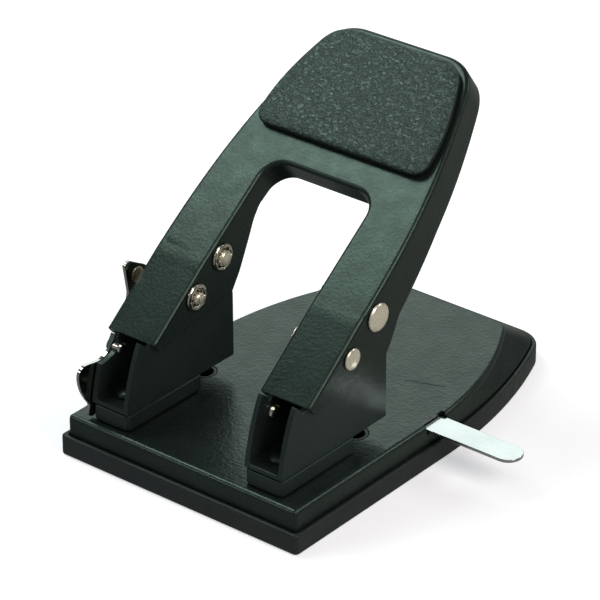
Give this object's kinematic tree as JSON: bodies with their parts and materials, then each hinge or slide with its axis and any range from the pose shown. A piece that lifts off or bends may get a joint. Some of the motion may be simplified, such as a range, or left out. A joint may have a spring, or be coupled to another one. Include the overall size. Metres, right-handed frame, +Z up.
{
  "type": "hole punch",
  "caption": "Heavy-duty desk hole punch: black steel base, spring-loaded punch heads, windowed lever handle with leather pad, lock lever, clip-on chip tray and pull-out paper guide.",
  "frame": {"origin": "centre of the chip tray's underside", "axes": "+Y to the side where paper is fed in, +Z up, +X to the side where the paper guide pulls out"},
  "size_m": [0.1431, 0.1663, 0.1321],
  "materials": {
    "black_enamel": "fine wrinkle, semi gloss",
    "tray_plastic": "moulded, fine texture",
    "pad_leather": "grained imitation leather",
    "bright_nickel": "polished nickel plate",
    "plated_steel": "zinc-plated steel",
    "ground_steel": "ground tool steel",
    "guide_iron": "dark oxide"
  },
  "bodies": {
    "base": {"base_plate": "black_enamel", "guide_rail": "plated_steel", "guide_spring": "plated_steel", "rail_rivet_1": "black_enamel", "rail_rivet_2": "black_enamel", "rail_rivet_3": "black_enamel", "rail_rivet_4": "black_enamel", "left_bracket": "black_enamel", "left_foot_block": "black_enamel", "left_foot_rivet_1": "black_enamel", "left_foot_rivet_2": "black_enamel", "left_die_bush": "guide_iron", "left_pin_guide": "guide_iron", "left_cheek_rivet": "bright_nickel", "right_bracket": "black_enamel", "right_foot_block": "black_enamel", "right_foot_rivet_1": "black_enamel", "right_foot_rivet_2": "black_enamel", "right_die_bush": "guide_iron", "right_pin_guide": "guide_iron", "right_cheek_rivet": "bright_nickel", "left_punch_spring": "plated_steel", "right_punch_spring": "plated_steel"},
    "chip_tray": {"chip_tray": "tray_plastic"},
    "handle": {"handle": "black_enamel", "handle_pad": "pad_leather", "left_pivot_rivet": "bright_nickel", "left_pusher_rivet": "bright_nickel", "left_pivot_washer": "bright_nickel", "left_pusher_washer": "bright_nickel", "right_pivot_rivet": "bright_nickel", "right_pusher_rivet": "bright_nickel", "right_pivot_washer": "bright_nickel", "right_pusher_washer": "bright_nickel"},
    "left_punch": {"left_punch_pin": "ground_steel", "left_spring_seat": "plated_steel", "left_retaining_clip": "plated_steel"},
    "right_punch": {"right_punch_pin": "ground_steel", "right_spring_seat": "plated_steel", "right_retaining_clip": "plated_steel"},
    "lock_lever": {"lock_lever": "bright_nickel"},
    "paper_guide": {"paper_guide": "bright_nickel"}
  },
  "joints": [
    {"name": "handle_hinge", "type": "hinge", "parent": "base", "child": "handle", "pos_m": [0, -0.0429, 0.057], "axis": [-1, 0, 0], "range_deg": [0, 36], "stiffness_Nm_per_rad": 2.9, "springref_deg": -17.76},
    {"name": "punch_slide_left", "type": "slide", "parent": "base", "child": "left_punch", "axis": [0, 0, -1], "range_m": [0, 0.0104], "deforming": ["left_punch_spring"]},
    {"name": "punch_slide_right", "type": "slide", "parent": "base", "child": "right_punch", "axis": [0, 0, -1], "range_m": [0, 0.0104], "deforming": ["right_punch_spring"]},
    {"name": "lock_lever_pivot", "type": "hinge", "parent": "base", "child": "lock_lever", "pos_m": [-0.045, -0.0641, 0.0398], "axis": [-1, 0, 0], "range_deg": [0, 25]},
    {"name": "paper_guide_slide", "type": "slide", "parent": "base", "child": "paper_guide", "axis": [-1, 0, 0], "range_m": [0, 0.033]},
    {"name": "chip_tray_slide", "type": "slide", "parent": "base", "child": "chip_tray", "axis": [0, 0, -1], "range_m": [0, 0.015]}
  ],
  "couplings": [
    {"joint": "punch_slide_left", "follows": "handle_hinge", "m_per_rad": 0.01655},
    {"joint": "punch_slide_right", "follows": "handle_hinge", "m_per_rad": 0.01655}
  ]
}
